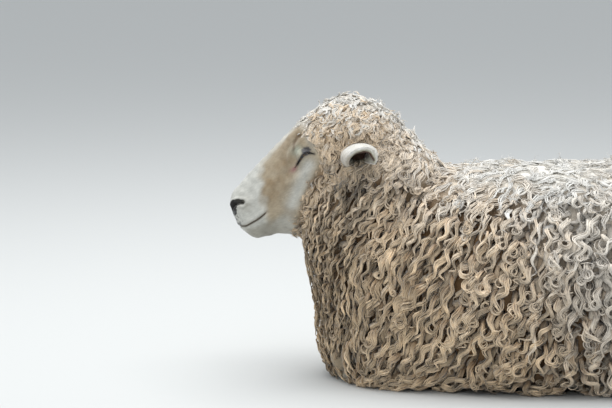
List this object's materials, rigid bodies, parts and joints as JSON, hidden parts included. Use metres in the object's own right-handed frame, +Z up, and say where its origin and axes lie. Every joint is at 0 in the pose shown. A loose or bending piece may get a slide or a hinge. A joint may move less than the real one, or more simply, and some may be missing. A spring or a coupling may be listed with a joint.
{
  "type": "lying sheep",
  "caption": "Life-size museum model of a long-woolled white-faced sheep lying at rest, head up, legs folded under a hanging curly fleece.",
  "frame": {"origin": "on the floor, under the middle of the sheep's overall box", "axes": "+Z up; +X from the nose to the rump, so the sheep faces -X; -Y is the sheep's left side"},
  "size_m": [1.1286, 0.5494, 0.5546],
  "materials": {
    "fleece": "long lustrous wool in wavy beige locks",
    "pale_fleece": "long lustrous wool in wavy off-white locks",
    "face_hair": "short white hair with beige stains, dark nose and lips, curly wool on the crown",
    "ear_hair": "short white hair outside, dark skin inside",
    "leg_hair": "short cream hair and wool",
    "eye": "wet amber-brown eye with a level slot pupil",
    "horn": "dull dark horn"
  },
  "bodies": {
    "root": {"neck": "fleece", "shoulder_left": "fleece", "shoulder_right": "fleece", "trunk_barrel": "fleece", "trunk_rump": "pale_fleece", "tail": "pale_fleece", "head": "face_hair", "muzzle": "face_hair", "lower_jaw": "face_hair", "ear_left": "ear_hair", "ear_right": "ear_hair", "forearm_left": "leg_hair", "fore_cannon_left": "leg_hair", "shank_left": "leg_hair", "hind_cannon_left": "leg_hair", "forearm_right": "leg_hair", "fore_cannon_right": "leg_hair", "shank_right": "leg_hair", "hind_cannon_right": "leg_hair", "eye_left": "eye", "eye_right": "eye", "hoof_fore_left_outer": "horn", "hoof_fore_left_inner": "horn", "hoof_hind_left_outer": "horn", "hoof_hind_left_inner": "horn", "hoof_fore_right_outer": "horn", "hoof_fore_right_inner": "horn", "hoof_hind_right_outer": "horn", "hoof_hind_right_inner": "horn"}
  },
  "joints": []
}
